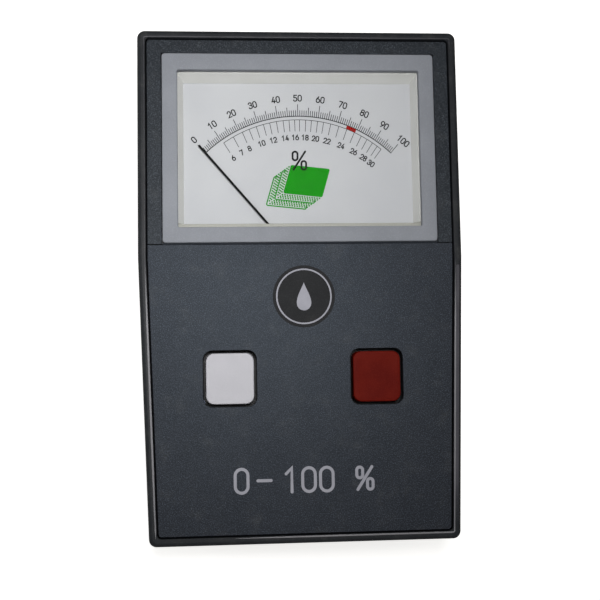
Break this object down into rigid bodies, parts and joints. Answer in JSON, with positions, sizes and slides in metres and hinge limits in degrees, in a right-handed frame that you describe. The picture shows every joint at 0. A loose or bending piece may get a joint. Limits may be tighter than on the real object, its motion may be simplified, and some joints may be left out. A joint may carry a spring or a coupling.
{
  "type": "paper moisture meter",
  "caption": "Hand-held moisture meter with a needle dial behind a window, two square push buttons, a side adjusting wheel, electrode sockets and a sliding battery door.",
  "frame": {"origin": "middle of the back's resting plane, below the centre of the case", "axes": "+Z out of the face, +Y along the case towards the meter end, +X to the right seen from the front"},
  "size_m": [0.09, 0.142, 0.042],
  "materials": {
    "case_plastic": "fine textured near-black grey",
    "back_plastic": "fine textured near-black grey",
    "surround_plastic": "coarse textured near-black grey",
    "plate_slate": "satin slate grey",
    "bezel_grey": "satin grey",
    "pane_clear": "clear",
    "frame_ivory": "satin ivory",
    "dial_white": "matt white",
    "housing_black": "matt black",
    "screw_steel": "zinc plated",
    "brass": "turned",
    "iron": "dull nickel",
    "magnet": "ground",
    "die_cast": "as cast",
    "spring_bronze": "rolled strip",
    "pointer_black": "matt black",
    "coil_aluminium": "satin",
    "coil_copper": "varnished copper wire",
    "cap_white": "satin white",
    "cap_red": "satin dark red",
    "spring_steel": "bright wire",
    "board_green": "green glass-fibre board",
    "chip_black": "moulded",
    "capacitor_blue": "sleeved",
    "resistor_tan": "lacquered",
    "trimmer_blue": "moulded",
    "wheel_black": "moulded",
    "socket_black": "moulded",
    "battery_can": "plain sleeve",
    "foam": "open-cell foam",
    "lead_red": "insulated wire",
    "lead_black": "insulated wire",
    "lead_green": "insulated wire"
  },
  "bodies": {
    "root": {"upper_shell": "case_plastic", "lower_shell": "back_plastic", "case_screws": "screw_steel", "meter_surround": "surround_plastic", "front_plate": "plate_slate", "meter_bezel": "bezel_grey", "window_pane": "pane_clear", "dial_frame": "frame_ivory", "dial_plate": "dial_white", "dial_screws": "brass", "meter_housing": "housing_black", "iron_ring": "iron", "core_magnet": "magnet", "core_webs": "die_cast", "lower_bridge": "brass", "upper_bridge": "brass", "bridge_screws": "screw_steel", "jewel_screws": "brass", "zero_arm": "brass", "pointer_stops": "screw_steel", "hairsprings": "spring_bronze", "meter_terminals": "brass", "white_spring": "spring_steel", "red_spring": "spring_steel", "white_switch": "housing_black", "red_switch": "housing_black", "circuit_board": "board_green", "board_screws": "screw_steel", "board_chips": "chip_black", "board_capacitors": "capacitor_blue", "board_resistors": "resistor_tan", "trimmers": "trimmer_blue", "wheel_potentiometer": "housing_black", "socket_sleeves": "brass", "socket_insulators": "socket_black", "socket_nuts": "screw_steel", "battery": "battery_can", "battery_snaps": "screw_steel", "battery_connector": "housing_black", "foam_pad": "foam", "sensor_leads": "lead_red", "battery_leads": "lead_black", "meter_leads": "lead_green"},
    "moving_coil": {"pointer": "pointer_black", "pointer_staff": "screw_steel", "coil_former": "coil_aluminium", "coil_winding": "coil_copper", "balance_weights": "brass"},
    "white_button": {"white_button": "cap_white"},
    "red_button": {"red_button": "cap_red"},
    "adjusting_wheel": {"adjusting_wheel": "wheel_black"},
    "battery_door": {"battery_door": "back_plastic"}
  },
  "joints": [
    {"name": "pointer_swing", "type": "hinge", "parent": "root", "child": "moving_coil", "pos_m": [0, 0.0064, 0.0365], "axis": [0, 0, -1], "range_deg": [-1.2, 82.2], "stiffness_Nm_per_rad": 0.00002},
    {"name": "white_button_press", "type": "slide", "parent": "root", "child": "white_button", "axis": [0, 0, -1], "range_m": [0, 0.002], "stiffness_N_per_m": 350, "springref_m": -0.0015, "deforming": ["white_spring"]},
    {"name": "red_button_press", "type": "slide", "parent": "root", "child": "red_button", "axis": [0, 0, -1], "range_m": [0, 0.002], "stiffness_N_per_m": 350, "springref_m": -0.0015, "deforming": ["red_spring"]},
    {"name": "adjusting_wheel_turn", "type": "hinge", "parent": "root", "child": "adjusting_wheel", "pos_m": [0.03474, -0.044, 0.0286], "axis": [0, 0, 1], "range_deg": [-135, 135]},
    {"name": "battery_door_slide", "type": "slide", "parent": "root", "child": "battery_door", "axis": [0, -1, 0], "range_m": [0, 0.035]}
  ]
}
